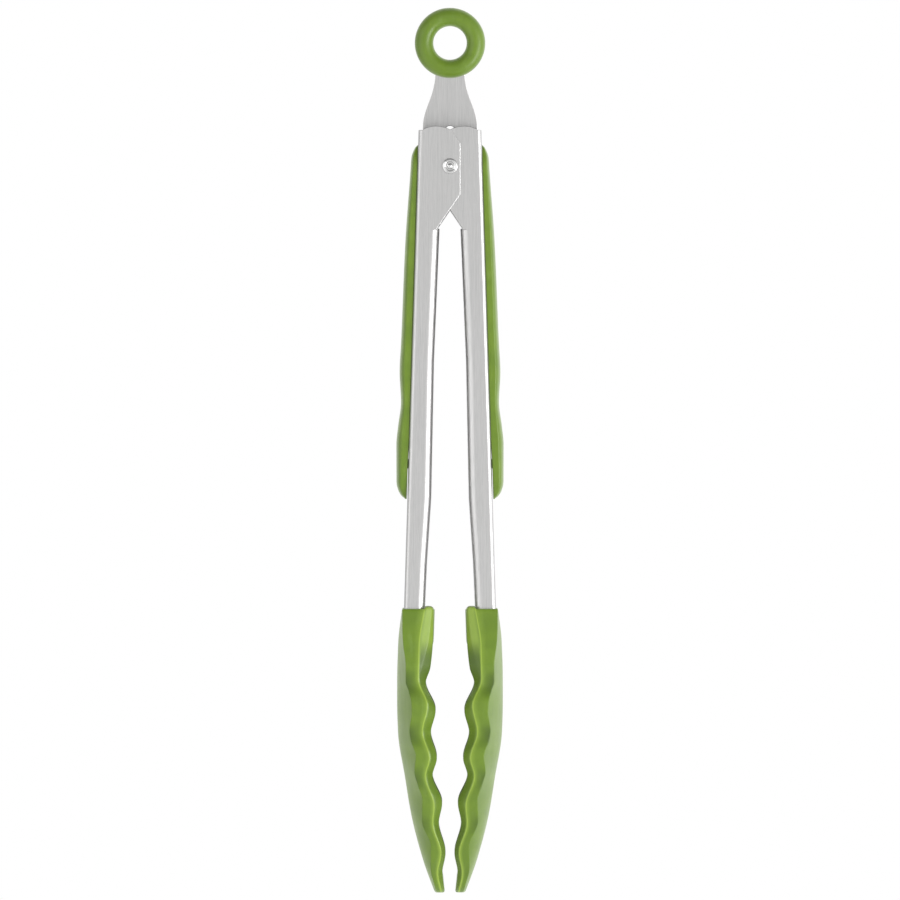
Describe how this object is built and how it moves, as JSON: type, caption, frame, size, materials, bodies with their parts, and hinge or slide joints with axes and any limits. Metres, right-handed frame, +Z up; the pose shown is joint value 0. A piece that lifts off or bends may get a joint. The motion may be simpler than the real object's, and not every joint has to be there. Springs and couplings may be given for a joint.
{
  "type": "spring loaded kitchen tongs",
  "caption": "Kitchen tongs with two sprung channel arms on a rivet, soft scalloped scoop heads, soft grips and a pull-ring lock.",
  "frame": {"origin": "centre of the hang hole in the ring, with the lock pulled out", "axes": "+Z up along the tongs, from the tips to the ring; +Y along the hang hole and the rivet; +X across the jaws"},
  "size_m": [0.043, 0.0388, 0.3538],
  "materials": {
    "brushed_steel": "brushed lengthwise",
    "polished_steel": "polished",
    "spring_steel": "drawn wire",
    "green_silicone": "satin moulded silicone"
  },
  "bodies": {
    "pivot": {"pivot_rivet": "polished_steel", "spacer_sleeve_front": "polished_steel", "spacer_sleeve_back": "polished_steel", "torsion_spring": "spring_steel"},
    "left": {"left_arm": "brushed_steel", "left_grip": "green_silicone", "left_head": "green_silicone"},
    "right": {"right_arm": "brushed_steel", "right_grip": "green_silicone", "right_head": "green_silicone"},
    "lock": {"lock_plate": "brushed_steel", "ring_cover": "green_silicone"}
  },
  "joints": [
    {"name": "left_arm_hinge", "type": "hinge", "parent": "pivot", "child": "left", "pos_m": [0, 0, -0.0496], "axis": [0, 1, 0], "range_deg": [-0.25, 12], "stiffness_Nm_per_rad": 1.3, "springref_deg": 21.49, "deforming": ["torsion_spring"]},
    {"name": "right_arm_hinge", "type": "hinge", "parent": "pivot", "child": "right", "pos_m": [0, 0, -0.0496], "axis": [0, -1, 0], "range_deg": [-0.25, 12], "stiffness_Nm_per_rad": 1.3, "springref_deg": 21.49, "deforming": ["torsion_spring"]},
    {"name": "lock_slide", "type": "slide", "parent": "pivot", "child": "lock", "axis": [0, 0, -1], "range_m": [-0.00031, 0.01462]}
  ],
  "couplings": [
    {"joint": "right_arm_hinge", "follows": "left_arm_hinge", "ratio": 1},
    {"joint": "lock_slide", "follows": "left_arm_hinge", "m_per_rad": 0.0697}
  ]
}
